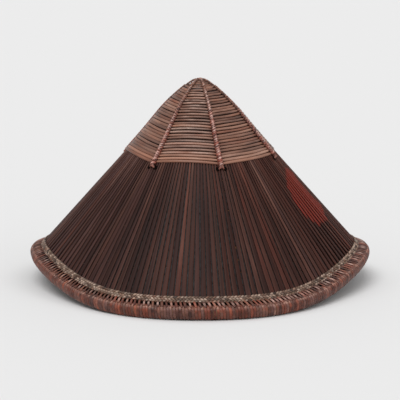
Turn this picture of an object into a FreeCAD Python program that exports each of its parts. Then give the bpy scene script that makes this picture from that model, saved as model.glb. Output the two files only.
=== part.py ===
"""Conical hat of split bamboo and rattan: radial splints under a woven cap with six wrapped ribs,
a bound rim, and an inner frame with a head ring. Millimetres, +Z up, the floor at Z = 0.

The hat is gently bent. Its rim dips at the front and back and rises at the sides, and every wall
piece follows straight lines drawn from one apex to that rim. Azimuths are in degrees from the
front (-Y), growing towards +X."""

import FreeCAD, Part
import Sketcher
import math
import os

from FreeCAD import Vector

doc = FreeCAD.newDocument("conical_hat")

# ---------------------------------------------------------------- driving dimensions
sheet = doc.addObject("Spreadsheet::Sheet", "sizes")
SIZES = {
    # the wall's guide surface: the face that splints and lining share
    "apex_height": 260.6,
    "edge_radius": 198.9,
    "side_reach": 0.3,
    "corner_pull": 3.6,
    "side_point": 1.6,
    "side_rise": 13.5,
    "corner_drop": 4.65,
    "wall_below_roll": 1.5,
    # wall
    "splint_count": 162,
    "splint_thick": 1.2,
    "splint_gap": 0.8,
    "short_splint_start": 100.0,
    "long_splint_start": 42.0,
    "long_splint_every": 3,
    "lining_thick": 1.2,
    "lining_start": 26.0,
    # rim roll
    "roll_width": 13.9,
    "roll_height": 15.3,
    "roll_squareness": 0.75,
    "roll_tip": 18.0,
    "wrapping_thick": 1.0,
    "wall_end_depth": 1.0,
    "braid_width": 10.0,
    "braid_thick": 1.6,
    "braid_above_roll": 0.8,
    "inner_band_thick": 1.4,
    "stitch_count": 240,
    "stitch_width": 2.2,
    "stitch_thick": 0.8,
    "stitch_reach": 4.0,
    "stitch_landing": 78.0,
    # woven cap
    "cap_panel_slant": 131.5,
    "cap_strip_count": 27,
    "cap_strip_width": 3.5,
    "cap_strip_gap": 0.4,
    "cap_strip_thick": 1.2,
    "cap_top_slant": 27.0,
    "cap_sag": 0.5,
    "cap_swell": 1.6,
    "cap_swell_slant": 62.0,
    "cap_swell_reach": 32.0,
    "cap_rib_foot_slant": 140.5,
    "cap_rib_width": 6.0,
    "cap_rib_tall": 3.2,
    "cap_rib_top_share": 0.6,
    "cap_rib_taper": 5.0,
    "rib_azimuth_front_left": -39.5,
    "rib_azimuth_front_right": 16.3,
    "rib_azimuth_right": 75.0,
    "rib_azimuth_back_right": 134.0,
    "rib_azimuth_back_left": 196.0,
    "rib_azimuth_left": 258.0,
    "foot_loop_length": 4.0,
    "foot_loop_thick": 1.1,
    # crown
    "crown_top_height": 246.4,
    "crown_base_height": 232.0,
    "crown_shoulder": 5.0,
    "crown_bend_radius": 10.0,
    "crown_bend_drop": 2.0,
    "boss_clearance": 0.6,
    "knot_radius": 5.2,
    "knot_height": 4.2,
    "knot_edge": 1.0,
    "knot_taper": 1.2,
    # inner frame
    "inner_rib_width": 6.0,
    "inner_rib_thick": 4.5,
    "inner_rib_start": 42.0,
    "inner_rib_seat": 0.2,
    "inner_rib_end_gap": 0.5,
    "hoop_width": 7.0,
    "hoop_thick": 2.6,
    "upper_hoop_slant": 92.0,
    "middle_hoop_slant": 152.0,
    "lower_hoop_slant": 212.0,
    # head ring
    "ring_inner_radius": 90.0,
    "ring_wall": 2.4,
    "ring_bottom_height": 84.0,
    "ring_band_height": 34.0,
    "binding_tall": 6.0,
    "binding_wall": 2.0,
    "strut_width": 6.0,
    "strut_tall": 4.0,
    "strut_drop": 1.0,
    "tie_clearance": 0.15,
}
for row, (alias, value) in enumerate(SIZES.items(), start=1):
    sheet.set("A%d" % row, alias)
    sheet.set("B%d" % row, str(value))
    sheet.setAlias("B%d" % row, alias)
doc.recompute()


def size(alias):
    return float(sheet.get(alias))


RIB_NAMES = ("front_left", "front_right", "right", "back_right", "back_left", "left")
RIB_AZIMUTHS = [size("rib_azimuth_" + name) for name in RIB_NAMES]
PANEL_NAMES = ("front", "right_front", "right_back", "back", "left_back", "left_front")

nodes = {}


def keep(label, shape):
    """A sub-part whose solids are worked out below, as one object of the document."""
    feature = doc.addObject("Part::Feature", label)
    feature.Label = label
    feature.Shape = shape
    feature.Placement = FreeCAD.Placement()
    nodes[label] = feature


# ---------------------------------------------------------------- the bent cone
def roll_point(angle, inset):
    """A point on the roll's outline, outward and up from its centre line: a rounded box, tipped outward."""
    power = size("roll_squareness")
    cosine = math.cos(math.radians(angle))
    sine = math.sin(math.radians(angle))
    wide = (size("roll_width") / 2 - inset) * math.copysign(abs(cosine) ** power, cosine)
    tall = (size("roll_height") / 2 - inset) * math.copysign(abs(sine) ** power, sine)
    tip = math.radians(size("roll_tip"))
    return wide * math.cos(tip) + tall * math.sin(tip), tall * math.cos(tip) - wide * math.sin(tip)


def swing(azimuth):
    """How far the rim is bent up or down from its mean height."""
    twice = math.radians(2 * azimuth)
    return size("corner_drop") * math.cos(2 * twice) - size("side_rise") * math.cos(twice)


ROLL_FALL = -min(roll_point(angle, 0)[1] for angle in range(360))
LOWEST_SWING = min(swing(azimuth) for azimuth in range(91))


def edge(azimuth):
    """Radius and height of the rim roll's centre line."""
    twice = math.radians(2 * azimuth)
    radius = size("edge_radius") - size("side_reach") * math.cos(twice)
    radius = radius + size("corner_pull") * math.cos(2 * twice)
    radius = radius - size("side_point") * math.cos(3 * twice)
    return radius, ROLL_FALL + swing(azimuth) - LOWEST_SWING


def slope(azimuth):
    """Length of the guide line from the apex to the rim, and the cosine and sine of its fall."""
    radius, height = edge(azimuth)
    fall = size("apex_height") - height + size("wall_below_roll")
    length = math.hypot(radius, fall)
    return length, radius / length, fall / length


def outward(azimuth):
    turn = math.radians(azimuth)
    return Vector(math.sin(turn), -math.cos(turn), 0)


def sideways(azimuth):
    turn = math.radians(azimuth)
    return Vector(math.cos(turn), math.sin(turn), 0)


def on_wall(azimuth, slant, lift):
    """The point a given way down the guide line, lifted off it along the wall's normal."""
    length, flat, steep = slope(azimuth)
    radius = slant * flat + lift * steep
    height = size("apex_height") - slant * steep + lift * flat
    return outward(azimuth) * radius + Vector(0, 0, height)


def polygon(points):
    return Part.makePolygon(list(points) + [points[0]])


def skin(sections, closed=False):
    """A solid through flat sections with the same number of corners."""
    return Part.makeLoft([polygon(points) for points in sections], True, True, closed)


RING_STEP = 5
RING_AZIMUTHS = [RING_STEP * i for i in range(360 // RING_STEP)]


def ring_on_wall(slant_of, low, high):
    """A band round the wall between two lifts, from the first to the second slant of slant_of."""
    sections = []
    for azimuth in RING_AZIMUTHS:
        start, end = slant_of(azimuth)
        corners = ((start, low), (start, high), (end, high), (end, low))
        sections.append([on_wall(azimuth, slant, lift) for slant, lift in corners])
    return skin(sections, closed=True)


def wall_end(azimuth):
    return slope(azimuth)[0] - size("wall_end_depth")


# ---------------------------------------------------------------- radial splints
PITCH = 360.0 / size("splint_count")


def splint(azimuth, start):
    """A flat strip that widens towards the rim, so that the gap to the next one stays even."""
    sections = []
    for slant in (start, wall_end(azimuth)):
        inner = on_wall(azimuth, slant, 0)
        outer = on_wall(azimuth, slant, size("splint_thick"))
        reach = max(slant, size("short_splint_start")) * slope(azimuth)[1]
        half = reach * math.radians(PITCH) / 2 - size("splint_gap") / 2
        across = sideways(azimuth) * half
        sections.append([inner - across, inner + across, outer + across, outer - across])
    return skin(sections)


def panel_of(azimuth):
    """Which of the six panels between ribs an azimuth lies in."""
    first = RIB_AZIMUTHS[0]
    turned = (azimuth - first) % 360
    return max(i for i in range(6) if turned >= (RIB_AZIMUTHS[i] - first))


splints = [[] for name in PANEL_NAMES]
for index in range(int(size("splint_count"))):
    azimuth = (index + 0.5) * PITCH
    long_one = index % int(size("long_splint_every")) == 0
    start = size("long_splint_start") if long_one else size("short_splint_start")
    splints[panel_of(azimuth)].append(splint(azimuth, start))
for name, solids in zip(PANEL_NAMES, splints):
    keep("outer_splints_" + name, Part.makeCompound(solids))

# ---------------------------------------------------------------- woven lining
LINING_STEPS = 12


def panel_edges(index):
    """The azimuths of the ribs each side of a panel."""
    left = RIB_AZIMUTHS[index]
    right = RIB_AZIMUTHS[index + 1] if index < 5 else RIB_AZIMUTHS[0] + 360
    return left, right


def lining_gore(left, right):
    """One woven sheet between two ribs."""
    sections = []
    low = -size("lining_thick")
    for step in range(LINING_STEPS + 1):
        azimuth = left + (right - left) * step / LINING_STEPS
        start = size("lining_start")
        end = wall_end(azimuth)
        corners = ((start, low), (start, 0), (end, 0), (end, low))
        sections.append([on_wall(azimuth, slant, lift) for slant, lift in corners])
    return skin(sections)


for index, name in enumerate(PANEL_NAMES):
    keep("woven_lining_" + name, lining_gore(*panel_edges(index)))

# ---------------------------------------------------------------- rim roll
WALL_OUT = size("splint_thick")
WALL_IN = -size("lining_thick")


def lift_of(azimuth, angle, inset):
    length, flat, steep = slope(azimuth)
    out, up = roll_point(angle, inset)
    return out * steep + (up + size("wall_below_roll")) * flat


def angle_at_lift(azimuth, lift, inset, low, high):
    """The outline angle between low and high where the outline crosses a lift off the wall."""
    rising = lift_of(azimuth, high, inset) > lift_of(azimuth, low, inset)
    for step in range(40):
        middle = (low + high) / 2
        if (lift_of(azimuth, middle, inset) > lift) == rising:
            high = middle
        else:
            low = middle
    return (low + high) / 2


def outline(azimuth, start, end, count, inset):
    """Points along the roll's outline from one angle to another."""
    radius, height = edge(azimuth)
    points = []
    for step in range(count):
        angle = start + (end - start) * step / (count - 1)
        out, up = roll_point(angle, inset)
        points.append(outward(azimuth) * (radius + out) + Vector(0, 0, height + up))
    return points


# Outline angles that hold one crossing of the wall each: above the centre line and below it.
TOP_CROSSING = (75, 220)
LOW_CROSSING = (-105, 40)
HOOP_CORNERS = 8
WRAPPING_CORNERS = 17


def closed_ring(section):
    return skin([section(azimuth) for azimuth in RING_AZIMUTHS], closed=True)


def outer_hoop_section(azimuth):
    inset = size("wrapping_thick")
    start = angle_at_lift(azimuth, WALL_OUT, inset, *TOP_CROSSING)
    end = angle_at_lift(azimuth, WALL_OUT, inset, *LOW_CROSSING)
    return outline(azimuth, start, end, HOOP_CORNERS, inset)


def inner_hoop_section(azimuth):
    inset = size("wrapping_thick")
    start = angle_at_lift(azimuth, WALL_IN, inset, *TOP_CROSSING)
    end = 360 + angle_at_lift(azimuth, WALL_IN, inset, *LOW_CROSSING)
    return outline(azimuth, start, end, HOOP_CORNERS, inset)


def wrapping_section(azimuth):
    """A C that starts on the wall's outer face, runs under the hoops and ends on its inner face."""
    sides = []
    for inset in (0, size("wrapping_thick")):
        start = angle_at_lift(azimuth, WALL_OUT, inset, *TOP_CROSSING)
        end = angle_at_lift(azimuth, WALL_IN, inset, *TOP_CROSSING) - 360
        sides.append(outline(azimuth, start, end, WRAPPING_CORNERS, inset))
    return sides[0] + sides[1][::-1]


keep("rim_hoop_outer", closed_ring(outer_hoop_section))
keep("rim_hoop_inner", closed_ring(inner_hoop_section))
keep("rim_wrapping", closed_ring(wrapping_section))


def roll_top_slant(azimuth, lift):
    """How far down the wall the roll's top meets a lift off the guide surface."""
    length, flat, steep = slope(azimuth)
    angle = angle_at_lift(azimuth, lift, 0, *TOP_CROSSING)
    out, up = roll_point(angle, 0)
    return length + out * flat - (up + size("wall_below_roll")) * steep


def braid_span(azimuth):
    top = WALL_OUT + size("braid_thick")
    end = roll_top_slant(azimuth, top) - size("braid_above_roll")
    return end - size("braid_width"), end


def inner_band_span(azimuth):
    low = WALL_IN - size("inner_band_thick")
    end = roll_top_slant(azimuth, low) - size("braid_above_roll")
    return end - size("braid_width"), end


keep("rim_braid", ring_on_wall(braid_span, WALL_OUT, WALL_OUT + size("braid_thick")))
keep("rim_inner_band", ring_on_wall(inner_band_span, WALL_IN - size("inner_band_thick"), WALL_IN))


def stitch(azimuth):
    """A flat tie from the top of the roll over the lower edge of the braid."""
    thick = size("stitch_thick")
    across = sideways(azimuth) * (size("stitch_width") / 2)
    length, flat, steep = slope(azimuth)
    normal = outward(azimuth) * steep + Vector(0, 0, flat)
    start = braid_span(azimuth)[1] - size("stitch_reach")
    on_braid = on_wall(azimuth, start, WALL_OUT + size("braid_thick"))
    landing = size("stitch_landing") + size("roll_tip")
    on_roll = outline(azimuth, landing, landing, 2, 0)[0]
    sections = []
    for point in (on_braid, on_roll):
        above = point + normal * thick
        sections.append([point - across, point + across, above + across, above - across])
    return skin(sections)


STITCH_PITCH = 360.0 / size("stitch_count")
keep(
    "rim_stitches",
    Part.makeCompound([stitch(i * STITCH_PITCH) for i in range(int(size("stitch_count")))]),
)

# ---------------------------------------------------------------- woven cap
CAP_HIGH = WALL_OUT + size("cap_strip_thick")
STRIP_SPANS = 6


def swell(slant):
    """How far the cap stands proud of the wall, as a gentle belly below the crown."""
    away = (slant - size("cap_swell_slant")) / size("cap_swell_reach")
    return size("cap_swell") * math.exp(-away * away)


def cap_strip(left, right, slant, width):
    """A strip from one rib to the next, bowed down at its ends as on an unrolled cone."""
    middle = (left + right) / 2
    sections = []
    for step in range(STRIP_SPANS + 1):
        azimuth = left + (right - left) * step / STRIP_SPANS
        unrolled = math.radians(azimuth - middle) * slope(middle)[1]
        here = slant * (1 + size("cap_sag") * (1 / math.cos(unrolled) - 1))
        low = WALL_OUT + swell(slant)
        high = CAP_HIGH + swell(slant)
        corners = ((-width, low), (-width, high), (width, high), (width, low))
        sections.append([on_wall(azimuth, here + way / 2, lift) for way, lift in corners])
    return skin(sections)


rows = int(size("cap_strip_count"))
row_pitch = (size("cap_panel_slant") - size("cap_top_slant")) / (rows - 1)
for index, name in enumerate(PANEL_NAMES):
    left, right = panel_edges(index)
    strips = []
    for row in range(rows):
        slant = size("cap_top_slant") + row * row_pitch
        width = min(size("cap_strip_width"), row_pitch - size("cap_strip_gap"))
        strips.append(cap_strip(left, right, slant, width))
    keep("cap_strips_" + name, Part.makeCompound(strips))

# ---------------------------------------------------------------- wrapped cap ribs
RIB_CORNERS = 10
RIB_SPANS = 6
RIB_END_SHARE = 0.8
# How far a rib leans outward where it bends over the crown and where it meets the knot.
BEND_LEAN = 0.45
KNOT_LEAN = 0.1
KNOT_REACH = size("knot_radius") - size("knot_edge")


def rod_section(centre, across, above, wide, tall):
    """A half-flattened oval: level below, rounded above."""
    points = []
    for corner in range(RIB_CORNERS):
        turn = math.pi * corner / (RIB_CORNERS - 1)
        points.append(centre + across * (math.cos(turn) * wide / 2) + above * (math.sin(turn) * tall))
    return points


def cap_rib(azimuth):
    length, flat, steep = slope(azimuth)
    across = sideways(azimuth)
    above = outward(azimuth) * steep + Vector(0, 0, flat)
    share = size("cap_rib_top_share")
    foot = size("cap_rib_foot_slant")
    top = size("cap_top_slant")
    sections = []
    full = foot - size("cap_rib_taper")
    stations = [full + (top - full) * step / RIB_SPANS for step in range(RIB_SPANS + 1)]
    for slant in [foot] + stations:
        scale = share + (1 - share) * (slant - top) / (foot - top)
        if slant == foot:
            scale = scale * RIB_END_SHARE
        centre = on_wall(azimuth, slant, CAP_HIGH + swell(slant))
        wide = size("cap_rib_width") * scale
        sections.append(rod_section(centre, across, above, wide, size("cap_rib_tall") * scale))
    # over the rounded crown to the knot
    rise = size("crown_top_height")
    bend = (size("crown_bend_radius"), rise - size("crown_bend_drop"), BEND_LEAN)
    for radius, height, lean in (bend, (KNOT_REACH, rise, KNOT_LEAN)):
        centre = outward(azimuth) * radius + Vector(0, 0, height)
        up = (outward(azimuth) * lean + Vector(0, 0, 1)).normalize()
        wide = min(size("cap_rib_width") * share, radius)
        tall = size("cap_rib_tall") * share * RIB_END_SHARE
        sections.append(rod_section(centre, across, up, wide, tall))
    return skin(sections)


# A foot loop's way out from the rib, as shares of half its width, and its height over the splints.
FOOT_LOOP_STEPS = ((0.2, 1.8), (0.8, 1.2), (1.25, 0.0))


def foot_loops(azimuth):
    """The two turns that tie a rib's foot down through the wall, one each side."""
    loops = []
    slant = size("cap_rib_foot_slant") + size("foot_loop_thick")
    length, flat, steep = slope(azimuth)
    normal = outward(azimuth) * steep + Vector(0, 0, flat)
    half = size("cap_rib_width") / 2
    along = (outward(azimuth) * flat - Vector(0, 0, steep)) * (size("foot_loop_length") / 2)
    tall = normal * size("foot_loop_thick")
    for side in (-1, 1):
        sections = []
        for way, lift in FOOT_LOOP_STEPS:
            base = on_wall(azimuth, slant, WALL_OUT + lift)
            base = base + sideways(azimuth) * (side * half * way)
            sections.append([base - along, base + along, base + along + tall, base - along + tall])
        loops.append(skin(sections))
    return loops


for name, azimuth in zip(RIB_NAMES, RIB_AZIMUTHS):
    keep("cap_rib_" + name, cap_rib(azimuth))
keep(
    "cap_rib_feet",
    Part.makeCompound([loop for azimuth in RIB_AZIMUTHS for loop in foot_loops(azimuth)]),
)


# ---------------------------------------------------------------- bodies made from sketches
def new_body(label):
    body = doc.addObject("PartDesign::Body", label)
    body.Label = label
    nodes[label] = body
    return body


def new_sketch(body, role):
    plane = [item for item in body.Origin.OriginFeatures if item.Role == role][0]
    sketch = body.newObject("Sketcher::SketchObject", body.Label + "_sketch")
    sketch.AttachmentSupport = [(plane, "")]
    sketch.MapMode = "FlatFace"
    doc.recompute()
    return sketch


def draw_outline(sketch, corners):
    """A closed outline whose corners are pairs of expressions, each bound to its own constraint."""
    places = []
    for pair in corners:
        across, up = (float(sketch.evalExpression(expression)) for expression in pair)
        places.append(Vector(across, up, 0))
    for index, start in enumerate(places):
        end = places[(index + 1) % len(places)]
        sketch.addGeometry(Part.LineSegment(start, end), False)
    for index in range(len(places)):
        after = (index + 1) % len(places)
        sketch.addConstraint(Sketcher.Constraint("Coincident", index, 2, after, 1))
    for index, pair in enumerate(corners):
        for kind, axis, expression in (("DistanceX", -2, pair[0]), ("DistanceY", -1, pair[1])):
            if expression == "0":
                sketch.addConstraint(Sketcher.Constraint("PointOnObject", index, 1, axis))
                continue
            value = float(sketch.evalExpression(expression))
            number = sketch.addConstraint(Sketcher.Constraint(kind, -1, 1, index, 1, value))
            sketch.setExpression("Constraints[%d]" % number, expression)
    doc.recompute()


def revolved(label, corners):
    """A body turned about Z from corners given as (radius, height) expressions."""
    body = new_body(label)
    sketch = new_sketch(body, "XZ_Plane")
    draw_outline(sketch, corners)
    turn = body.newObject("PartDesign::Revolution", label + "_turn")
    turn.Profile = sketch
    turn.ReferenceAxis = (sketch, ["V_Axis"])
    turn.Angle = 360
    sketch.Visibility = False
    body.Tip = turn
    doc.recompute()
    return body

# ---------------------------------------------------------------- crown
steepest = max((slope(azimuth) for azimuth in RING_AZIMUTHS), key=lambda fall: fall[2])
BOSS_SLOPE = "%.6f" % (steepest[1] / steepest[2])
BOSS_INSET = " - sizes.lining_thick - sizes.boss_clearance"
SHOULDER = "(sizes.crown_top_height - sizes.crown_shoulder)"


def boss_radius(height):
    """The radius inside the steepest stretch of wall at a height, as an expression."""
    return "(sizes.apex_height - %s) * %s" % (height, BOSS_SLOPE)


KNOT_SIDE = "sizes.knot_radius - sizes.knot_edge"
BOSS_CORNERS = [
    ("0", "sizes.crown_base_height"),
    (boss_radius("sizes.crown_base_height") + BOSS_INSET, "sizes.crown_base_height"),
    (boss_radius(SHOULDER) + BOSS_INSET, SHOULDER),
    ("sizes.crown_bend_radius", "(sizes.crown_top_height - sizes.crown_bend_drop)"),
    (KNOT_SIDE, "sizes.crown_top_height"),
    ("0", "sizes.crown_top_height"),
]
revolved("crown_boss", BOSS_CORNERS)

KNOT_BASE = "sizes.crown_top_height"
revolved(
    "crown_knot",
    [
        ("0", KNOT_BASE),
        (KNOT_SIDE, KNOT_BASE),
        (KNOT_SIDE, KNOT_BASE + " + sizes.knot_height - sizes.knot_taper"),
        (KNOT_SIDE + " - sizes.knot_taper", KNOT_BASE + " + sizes.knot_height"),
        ("0", KNOT_BASE + " + sizes.knot_height"),
    ],
)

# ---------------------------------------------------------------- inner ribs and hoops
RIB_TOP = WALL_IN - size("inner_rib_seat")
RIB_LOW = RIB_TOP - size("inner_rib_thick")


def inner_rib(name, azimuth):
    """A straight split-bamboo stick under the lining, from near the crown to the inner band."""
    length_cell = "C%d" % (1 + RIB_NAMES.index(name))
    run_end = inner_band_span(azimuth)[0] - size("inner_rib_end_gap")
    sheet.set(length_cell, str(run_end - size("inner_rib_start")))
    sheet.setAlias(length_cell, "inner_rib_length_" + name)
    doc.recompute()
    body = new_body("inner_rib_" + name)
    sketch = new_sketch(body, "XZ_Plane")
    run = "sizes.inner_rib_length_" + name
    half = "sizes.inner_rib_width / 2"
    draw_outline(sketch, [("0", half), (run, half), (run, "-" + half), ("0", "-" + half)])
    pad = body.newObject("PartDesign::Pad", "inner_rib_pad_" + name)
    pad.Profile = sketch
    pad.setExpression("Length", "sizes.inner_rib_thick")
    pad.Reversed = True
    body.Tip = pad
    doc.recompute()
    length, flat, steep = slope(azimuth)
    along = outward(azimuth) * flat - Vector(0, 0, steep)
    normal = outward(azimuth) * steep + Vector(0, 0, flat)
    start = on_wall(azimuth, size("inner_rib_start"), RIB_LOW)
    turned = FreeCAD.Rotation(along, normal, Vector(0, 0, 0), "XYZ")
    body.Placement = FreeCAD.Placement(start, turned)


for name, azimuth in zip(RIB_NAMES, RIB_AZIMUTHS):
    inner_rib(name, azimuth)

HOOP_LOW = RIB_LOW - size("hoop_thick")
HOOP_HALF = size("hoop_width") / 2
CORNER_AZIMUTH = 45
HOOPS = {"upper": "upper_hoop_slant", "middle": "middle_hoop_slant", "lower": "lower_hoop_slant"}


def hoop_slant(azimuth, alias):
    """Hoops sit a fixed way down the corner's guide line, in step with the bent wall."""
    return size(alias) * slope(azimuth)[0] / slope(CORNER_AZIMUTH)[0]


def hoop(alias):
    def hoop_span(azimuth):
        middle = hoop_slant(azimuth, alias)
        return middle - HOOP_HALF, middle + HOOP_HALF

    return ring_on_wall(hoop_span, HOOP_LOW, RIB_LOW)


for name, alias in HOOPS.items():
    keep("inner_hoop_" + name, hoop(alias))


def frame_tie(azimuth, alias):
    """A strap that laps a hoop at a rib and lands on the rib each side."""
    middle = hoop_slant(azimuth, alias)
    thick = size("foot_loop_thick")
    gap = size("tie_clearance")
    near = HOOP_HALF + gap
    far = near + thick
    low = HOOP_LOW - gap
    path = (
        (-far, RIB_LOW), (-far, low - thick), (far, low - thick), (far, RIB_LOW),
        (near, RIB_LOW), (near, low), (-near, low), (-near, RIB_LOW),
    )
    width = sideways(azimuth) * size("stitch_width")
    points = [on_wall(azimuth, middle + way, lift) - width / 2 for way, lift in path]
    return Part.Face(polygon(points)).extrude(width)


ties = [frame_tie(azimuth, alias) for alias in HOOPS.values() for azimuth in RIB_AZIMUTHS]
keep("frame_ties", Part.makeCompound(ties))

# ---------------------------------------------------------------- head ring
RING_IN = "sizes.ring_inner_radius"
RING_OUT = "(sizes.ring_inner_radius + sizes.ring_wall)"
BINDING_OUT = "(sizes.ring_inner_radius + sizes.ring_wall + sizes.binding_wall)"
RING_LOW = "sizes.ring_bottom_height"
RING_HIGH = "(sizes.ring_bottom_height + sizes.ring_band_height)"


def box_outline(inner, outer, low, high):
    return [(inner, low), (outer, low), (outer, high), (inner, high)]


revolved("head_ring_band", box_outline(RING_IN, RING_OUT, RING_LOW, RING_HIGH))
revolved(
    "head_ring_bottom_binding",
    box_outline(RING_OUT, BINDING_OUT, RING_LOW, RING_LOW + " + sizes.binding_tall"),
)
revolved(
    "head_ring_top_binding",
    box_outline(RING_OUT, BINDING_OUT, RING_HIGH + " - sizes.binding_tall", RING_HIGH),
)


def slant_at_height(azimuth, height, lift):
    length, flat, steep = slope(azimuth)
    return (size("apex_height") + lift * flat - height) / steep


def strut(azimuth):
    """A short arm from the ring's top binding to the inner rib, cut to the rib's slope."""
    high = size("ring_bottom_height") + size("ring_band_height") - size("strut_drop")
    start = size("ring_inner_radius") + size("ring_wall") + size("binding_wall")
    half = sideways(azimuth) * (size("strut_width") / 2)
    inner = []
    outer = []
    for height in (high - size("strut_tall"), high):
        inner.append(outward(azimuth) * start + Vector(0, 0, height))
        outer.append(on_wall(azimuth, slant_at_height(azimuth, height, RIB_LOW), RIB_LOW))
    sections = []
    for low, top in (inner, outer):
        sections.append([low - half, low + half, top + half, top - half])
    return skin(sections)


keep("head_ring_struts", Part.makeCompound([strut(azimuth) for azimuth in RIB_AZIMUTHS]))

# ---------------------------------------------------------------- check and write
doc.recompute()
for item in doc.Objects:
    if "Invalid" in item.State or "Error" in item.State:
        raise RuntimeError("%s is in error" % item.Label)
for label, item in nodes.items():
    if item.Shape.isNull() or not item.Shape.isValid() or not item.Shape.Solids:
        raise RuntimeError("%s has no valid solid" % label)

os.makedirs("parts", exist_ok=True)
for label, item in nodes.items():
    item.Shape.exportStep("parts/%s.step" % label)
print("%d nodes" % len(nodes))
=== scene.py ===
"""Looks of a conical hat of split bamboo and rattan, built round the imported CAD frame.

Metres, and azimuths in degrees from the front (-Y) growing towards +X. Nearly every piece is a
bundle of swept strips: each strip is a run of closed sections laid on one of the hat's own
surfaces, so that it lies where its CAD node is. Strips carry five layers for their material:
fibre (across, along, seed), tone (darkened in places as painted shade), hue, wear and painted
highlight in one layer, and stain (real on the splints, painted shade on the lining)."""

import math

import bpy
import numpy as np
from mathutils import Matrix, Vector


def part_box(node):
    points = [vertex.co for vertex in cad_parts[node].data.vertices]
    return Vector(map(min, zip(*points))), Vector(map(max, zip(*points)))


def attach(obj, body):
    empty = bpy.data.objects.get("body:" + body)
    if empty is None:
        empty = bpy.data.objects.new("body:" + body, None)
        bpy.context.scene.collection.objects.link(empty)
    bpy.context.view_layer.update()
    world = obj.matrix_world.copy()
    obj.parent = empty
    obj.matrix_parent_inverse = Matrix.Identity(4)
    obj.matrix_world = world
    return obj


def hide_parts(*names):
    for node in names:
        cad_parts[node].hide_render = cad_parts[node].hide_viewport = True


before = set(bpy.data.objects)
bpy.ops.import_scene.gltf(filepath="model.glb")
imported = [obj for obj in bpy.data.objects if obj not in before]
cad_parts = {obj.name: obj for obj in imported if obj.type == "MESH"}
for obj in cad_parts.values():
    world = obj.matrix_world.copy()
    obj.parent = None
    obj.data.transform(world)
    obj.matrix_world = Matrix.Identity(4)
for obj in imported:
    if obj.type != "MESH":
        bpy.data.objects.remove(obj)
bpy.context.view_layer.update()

MM = 0.001
TAU = 2 * math.pi
UP = np.array([0.0, 0.0, 1.0])

# ---------------------------------------------------------------- sizes shared with the CAD source
APEX_HEIGHT = 260.6 * MM
EDGE_RADIUS = 198.9 * MM
SIDE_REACH = 0.3 * MM
CORNER_PULL = 3.6 * MM
SIDE_POINT = 1.6 * MM
SIDE_RISE = 13.5 * MM
CORNER_DROP = 4.65 * MM
WALL_BELOW_ROLL = 1.5 * MM
SPLINT_COUNT = 162
SPLINT_THICK = 1.2 * MM
SHORT_SPLINT_START = 100 * MM
LONG_SPLINT_START = 42 * MM
LONG_SPLINT_EVERY = 3
LINING_THICK = 1.2 * MM
LINING_START = 26 * MM
ROLL_WIDTH = 13.9 * MM
ROLL_HEIGHT = 15.3 * MM
ROLL_SQUARENESS = 0.75
ROLL_TIP = math.radians(18)
WALL_END_DEPTH = 1.0 * MM
BRAID_WIDTH = 10 * MM
BRAID_THICK = 1.6 * MM
BRAID_ABOVE_ROLL = 0.8 * MM
INNER_BAND_THICK = 1.4 * MM
STITCH_COUNT = 240
CAP_PANEL_SLANT = 131.5 * MM
CAP_ROWS = 27
CAP_STRIP_WIDTH = 3.5 * MM
CAP_STRIP_THICK = 1.2 * MM
CAP_TOP_SLANT = 27 * MM
CAP_SAG = 0.5
CAP_SWELL = 1.6 * MM
CAP_SWELL_SLANT = 62 * MM
CAP_SWELL_REACH = 32 * MM
RIB_FOOT_SLANT = 140.5 * MM
RIB_WIDTH = 6.0 * MM
RIB_TALL = 3.2 * MM
RIB_TOP_SHARE = 0.6
CROWN_TOP = 246.4 * MM
KNOT_HEIGHT = 4.2 * MM
INNER_RIB_WIDTH = 6.0 * MM
INNER_RIB_THICK = 4.5 * MM
INNER_RIB_START = 42 * MM
INNER_RIB_SEAT = 0.2 * MM
HOOP_WIDTH = 7.0 * MM
HOOP_THICK = 2.6 * MM
HOOP_SLANTS = {"upper": 92 * MM, "middle": 152 * MM, "lower": 212 * MM}
RING_INNER_RADIUS = 90 * MM
RING_WALL = 2.4 * MM
BINDING_WALL = 2.0 * MM
STRUT_WIDTH = 6.0 * MM
STRUT_TALL = 4.0 * MM

RIB_AZIMUTHS = {
    "front_left": -39.5,
    "front_right": 16.3,
    "right": 75.0,
    "back_right": 134.0,
    "back_left": 196.0,
    "left": 258.0,
}
RIBS = list(RIB_AZIMUTHS.values())
PANELS = ("front", "right_front", "right_back", "back", "left_back", "left_front")
PITCH = 360 / SPLINT_COUNT


# ---------------------------------------------------------------- the bent cone
def roll_offset(angle, inset):
    """The roll's outline, outward and up from its centre line: a rounded box tipped outward."""
    cosine, sine = np.cos(angle), np.sin(angle)
    wide = (ROLL_WIDTH / 2 - inset) * np.sign(cosine) * np.abs(cosine) ** ROLL_SQUARENESS
    tall = (ROLL_HEIGHT / 2 - inset) * np.sign(sine) * np.abs(sine) ** ROLL_SQUARENESS
    return (
        wide * math.cos(ROLL_TIP) + tall * math.sin(ROLL_TIP),
        tall * math.cos(ROLL_TIP) - wide * math.sin(ROLL_TIP),
    )


def rim_swing(azimuth):
    """The rim's rise and fall: low at front and back, high at the sides."""
    twice = np.radians(2 * np.asarray(azimuth, float))
    return -SIDE_RISE * np.cos(twice) + CORNER_DROP * np.cos(2 * twice)


ROLL_FALL = -roll_offset(np.radians(np.arange(360)), 0)[1].min()
LOWEST_SWING = rim_swing(np.arange(91)).min()


def edge(azimuth):
    """Radius and height of the rim roll's centre line."""
    twice = np.radians(2 * np.asarray(azimuth, float))
    radius = EDGE_RADIUS - SIDE_REACH * np.cos(twice) + CORNER_PULL * np.cos(2 * twice)
    radius = radius - SIDE_POINT * np.cos(3 * twice)
    return radius, ROLL_FALL + rim_swing(azimuth) - LOWEST_SWING


def slope(azimuth):
    """Length of the guide line from the apex to the rim, and the cosine and sine of its fall."""
    radius, height = edge(azimuth)
    fall = APEX_HEIGHT - height + WALL_BELOW_ROLL
    length = np.hypot(radius, fall)
    return length, radius / length, fall / length


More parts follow.
